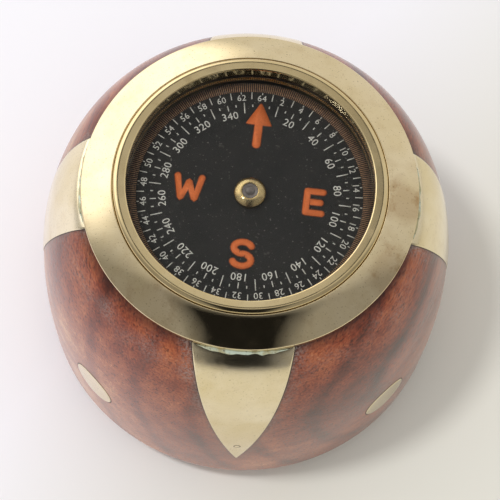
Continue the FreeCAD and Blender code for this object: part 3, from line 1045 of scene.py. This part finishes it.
# Outlines below are in mm; a slab is one of them with its thickness.
def slab(bm, outline, low, high):
    bottom = [bm.verts.new((x * mm, y * mm, low)) for x, y in outline]
    top = [bm.verts.new((x * mm, y * mm, high)) for x, y in outline]
    caps = [bm.faces.new(list(reversed(bottom))), bm.faces.new(top)]
    bmesh.ops.triangulate(bm, faces=caps)
    for k in range(len(outline)):
        n = (k + 1) % len(outline)
        bm.faces.new((bottom[k], bottom[n], top[n], top[k]))


# A pen stroke of one width along the points, with rounded corners and ends
def ribbon(bm, points, width, low, high, roundStart=True):
    half = width / 2
    sharp = 0.3  # sine of the turn from which a corner is rounded
    capSteps = 10
    path = [Vector(p) for p in points]
    sides = {1: [], -1: []}
    for k, point in enumerate(path):
        before = (point - path[k - 1]).normalized() if k else (path[1] - point).normalized()
        after = (path[k + 1] - point).normalized() if k + 1 < len(path) else before
        sideBefore, sideAfter = Vector((-before.y, before.x)), Vector((-after.y, after.x))
        middle = (sideBefore + sideAfter).normalized()
        turning = before.x * after.y - before.y * after.x
        for way in (1, -1):
            if abs(turning) > sharp and turning * way < 0:
                sides[way] += [point + sideBefore * half * way, point + middle * half * way * 1.06,
                               point + sideAfter * half * way]
            else:
                sides[way].append(point + middle * way * half / max(middle.dot(sideBefore), 0.4))
    caps = [Matrix.Rotation(-math.pi * k / capSteps, 2) for k in range(1, capSteps)]
    outline = list(sides[1])
    spoke = outline[-1] - path[-1]
    outline += [path[-1] + cap @ spoke for cap in caps]
    outline += list(reversed(sides[-1]))
    spoke = outline[-1] - path[0]
    if roundStart:
        outline += [path[0] + cap @ spoke for cap in caps]
    slab(bm, outline, low, high)


# Part of an ellipse, from one angle to another in degrees
def bow(cx, cy, rx, ry, start, end, steps=14):
    turns = [math.radians(start + (end - start) * k / steps) for k in range(steps + 1)]
    return [(cx + rx * math.cos(a), cy + ry * math.sin(a)) for a in turns]


# Each letter: its way out from the middle and how far, then its strokes round its own middle
letterStrokes = {
    "W": ((-1, 0, 11.6), [[(-2.2, 2.3), (-1.25, -2.3), (0, 1.2), (1.25, -2.3), (2.2, 2.3)]]),
    "E": ((1, 0, 12.2), [[(1.45, 2.3), (-1.4, 2.3), (-1.4, -2.3), (1.45, -2.3)], [(-0.78, 0), (1.1, 0)]]),
    "S": ((0, -1, 12.0), [bow(0, 1.3, 1.6, 1.25, 22, 270) + bow(0, -1.2, 1.65, 1.3, 90, -158)]),
}
letterScale = (1.05, 0.94)
arrow = {"tip": 19.0, "base": 14.5, "half": 2.35, "tail": 10.4, "stem": 1.5, "blunt": 0.3}


def lettersMesh(widen, low, high):
    bm = bmesh.new()
    for (px, py, out), strokes in letterStrokes.values():
        for points in strokes:
            moved = [(letterScale[0] * x + px * out, letterScale[1] * y + py * out) for x, y in points]
            ribbon(bm, moved, dial["stroke"] + widen, low, high, len(points) != 2)
    w = widen / 2
    half, stem, blunt = arrow["half"] + w, arrow["stem"] / 2 + w, arrow["blunt"]
    tip, base, tail = arrow["tip"] + w * 1.3, arrow["base"] - w, arrow["tail"]
    tailTurns = [math.pi * k / 12 for k in range(13)]
    tailEnd = [(-stem * math.cos(a), tail - stem * math.sin(a)) for a in tailTurns]
    slab(bm, [(stem, base), (-stem, base)] + tailEnd, low, high)
    slab(bm, [(blunt, tip - blunt), (0, tip), (-blunt, tip - blunt), (-half + 0.02, base + 0.4),
              (-half, base + 0.12), (-half + blunt, base), (-stem, base), (stem, base),
              (half - blunt, base), (half, base + 0.12), (half - 0.02, base + 0.4)], low, high)
    return meshFrom(bm, 1e-9)


# The whole print turns with the card's heading
def headed(mesh):
    mesh.transform(Matrix.Rotation(dial["heading"], 4, "Z"))
    return mesh


milStep = 360 / 32
white = [
    marksMesh("milLong", milStep / 2, milStep, whiteInk),
    marksMesh("milShort", 0, milStep, whiteInk),
    marksMesh("tens", 10, 20, whiteInk),
    marksMesh("twenties", 20, 20, whiteInk),
    marksMesh("fives", 5, 10, whiteInk),
]
white += [figureMesh(str(2 * k), milStep * k, dial["milFigure"]) for k in range(1, 33)]
white += [figureMesh(str(20 * k), 20 * k, dial["degreeFigure"]) for k in range(1, 18)]
fineTicks = marksMesh("fine", 0, 1, brownInk)
inkLow = cardTop - 0.01 * mm
rustLetters = lettersMesh(dial["edge"], inkLow, cardTop + 0.02 * mm)
orangeLetters = lettersMesh(0, inkLow, cardTop + 0.035 * mm)
for name, mesh, ink in (("CardFigures", joined(white), whiteInk), ("CardFineTicks", fineTicks, brownInk),
                        (
                            "CardLetterEdges", rustLetters,
                            rustInk), ("CardLetters", orangeLetters, orangeInk)):
    finishMesh(name, headed(mesh), ink, "card", [])
print("card printed")

# Finishes of the frame's own inner pieces
for nodeName, finish in (("glass_gasket", packing), ("cup_screws", cupBrass), ("pivot_post", cupBrass),
                         ("pivot_needle", steel), ("hub_washer", hubBrass), ("magnet_carrier", cupBrass),
                         ("magnet_east", magnetSteel), ("magnet_west", magnetSteel)):
    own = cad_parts[nodeName]
    own.data.materials.clear()
    own.data.materials.append(finish)
print("inner pieces finished")


# Studio: one soft lamp for the shadow, an even ambient level, and a room that only mirrors see.
# Directions have X to the right, Y to the back and Z up.
studio = {
    "ambient": 0.76,
    "keyFrom": (-0.352, -0.045, 0.935),
    "keyAway": 0.95,
    "keySize": 0.13,
    "keyPower": 3.1,
    # painted shade: the floor goes darker and warmer toward the front-right, away from the lamps
    "floor": ("#f5f4f9", "#e3e1d7"),  # left and right of the object
    "floorShadeFade": (-0.02, 0.035),
    "roomLevels": (0.33, 0.62),  # in front and behind
    "roomBack": 0.16,  # added far behind
    "roomTint": (1.0, 0.995, 0.985, 1),
    "windowFrom": (-0.60, 0.65, 0.45),
    "windowGain": 1.09,  # on top of the room's level, so brass clips to white
    "windowEdge": (0.77, 0.91),  # cosines where it starts and is full
    "topHoleFrom": (0.0, 0.386, 0.922),  # a dark spot for the flat glass to mirror
    "topHoleEdge": (0.9875, 0.9945),
    "topHoleLevel": 0.12,
    "aheadLevel": 0.012,  # the dark front of the room
    "view": {"away": 278.8 * mm, "elevation": 67.3, "azimuth": 1.77,
             "turn": 0.17, "tip": 2.4, "roll": -4.4, "lens": 108.0},
}


def areaLight(name, direction, away, size, power):
    data = bpy.data.lights.new(name, "AREA")
    data.shape = "DISK"
    data.size = size
    data.energy = power
    lamp = bpy.data.objects.new(name, data)
    bpy.context.scene.collection.objects.link(lamp)
    place = Vector(direction).normalized() * away
    lamp.matrix_world = Matrix.Translation(place) @ place.to_track_quat("Z", "Y").to_matrix().to_4x4()
    return lamp


def buildStage():
    s = studio
    half = 3  # metres of floor on every side
    corners = [(-half, -half, 0), (half, -half, 0), (half, half, 0), (-half, half, 0)]
    floorMesh = bpy.data.meshes.new("floor")
    floorMesh.from_pydata(corners, [], [(0, 1, 2, 3)])
    floor = bpy.data.objects.new("floor", floorMesh)
    bpy.context.scene.collection.objects.link(floor)
    material, tree, shader, coords = startMaterial("paleFloor", {
        "Roughness": 0.8, "Specular IOR Level": 0.2})
    # painted shade: the floor colour darkens and warms toward the front-right
    along = addNode(tree, "VectorMath", coords, (0.8, -0.6, 0), operation="DOT_PRODUCT")
    side = addNode(tree, "MapRange", along, *s["floorShadeFade"])
    colour = addNode(tree, "Mix", side, srgb(s["floor"][0]), srgb(s["floor"][1]), data_type="RGBA")
    tree.links.new(colour, shader.inputs["Base Color"])
    floorMesh.materials.append(material)
    key = areaLight("key", s["keyFrom"], s["keyAway"], s["keySize"], s["keyPower"])
    key.visible_glossy = False  # mirrors see the window instead


def mixValue(tree, factor, first, second):
    return addNode(tree, "Mix", factor, first, second)


# From 0 to high as the ray turns toward a direction
def towards(tree, ray, way, edge, high):
    facing = addNode(tree, "VectorMath", ray, Vector(way).normalized(), operation="DOT_PRODUCT")
    return addNode(tree, "MapRange", facing, *edge, 0.0, high, interpolation_type="SMOOTHSTEP")


def buildWorld():
    s = studio
    world = bpy.data.worlds.new("studio")
    bpy.context.scene.world = world
    world.use_nodes = True
    tree = world.node_tree
    tree.nodes.clear()
    path = tree.nodes.new("ShaderNodeLightPath").outputs
    mirrored = addNode(
        tree, "Math", path["Is Glossy Ray"], path["Is Transmission Ray"], operation="MAXIMUM")
    seen = addNode(tree, "Math", path["Is Camera Ray"], mirrored, operation="MAXIMUM")
    ray = tree.nodes.new("ShaderNodeTexCoord").outputs["Generated"]
    split = addNode(tree, "SeparateXYZ", Vector=ray).node.outputs
    room = addNode(
        tree, "Math", addNode(tree, "MapRange", split["Y"], -0.09, 0.09, *s["roomLevels"]),
        addNode(tree, "MapRange", split["Y"], 0.14, 0.6, 0.0, s["roomBack"]), operation="ADD")
    window = towards(tree, ray, s["windowFrom"], s["windowEdge"], s["windowGain"])
    hole = towards(tree, ray, s["topHoleFrom"], s["topHoleEdge"], 1.0)
    level = mixValue(tree, hole, addNode(tree, "Math", room, window, operation="ADD"), s["topHoleLevel"])
    # The dark front is narrow in X, ahead in Y, and ends just above the floor.
    nearMiddle = addNode(
        tree, "MapRange", addNode(tree, "Math", split["X"], operation="ABSOLUTE"), 0.18, 0.34, 1.0, 0.0)
    inFront = addNode(tree, "MapRange", split["Y"], -0.16, -0.03, 1.0, 0.0)
    aboveFloor = addNode(tree, "MapRange", split["Z"], 0.03, 0.09)
    ahead = addNode(
        tree, "Math", addNode(tree, "Math", nearMiddle, inFront, operation="MULTIPLY"), aboveFloor,
        operation="MULTIPLY")
    level = mixValue(tree, ahead, level, s["aheadLevel"])
    strength = mixValue(tree, seen, s["ambient"], level)
    background = addNode(tree, "Background", Color=s["roomTint"], Strength=strength)
    output = tree.nodes.new("ShaderNodeOutputWorld")
    tree.links.new(background, output.inputs["Surface"])


def buildCamera():
    v = studio["view"]
    target = Vector((0, 0, rimHeight + turnedSizes["edge"]))
    turn, lift = math.radians(v["azimuth"]), math.radians(v["elevation"])
    flat = math.cos(lift)
    away = Vector((-math.sin(turn) * flat, -math.cos(turn) * flat, math.sin(lift)))
    data = bpy.data.cameras.new("view")
    data.lens = v["lens"]
    data.sensor_width = 36
    data.clip_start = 0.01
    camera = bpy.data.objects.new("view", data)
    bpy.context.scene.collection.objects.link(camera)
    facing = away.to_track_quat("Z", "Y").to_matrix().to_4x4()
    for axis, key in (("Y", "turn"), ("X", "tip"), ("Z", "roll")):
        facing = facing @ Matrix.Rotation(-math.radians(v[key]), 4, axis)
    camera.matrix_world = Matrix.Translation(target + away * v["away"]) @ facing
    bpy.context.scene.camera = camera


buildStage()
buildWorld()
buildCamera()
bpy.context.scene.view_settings.view_transform = "Standard"
print("studio set")
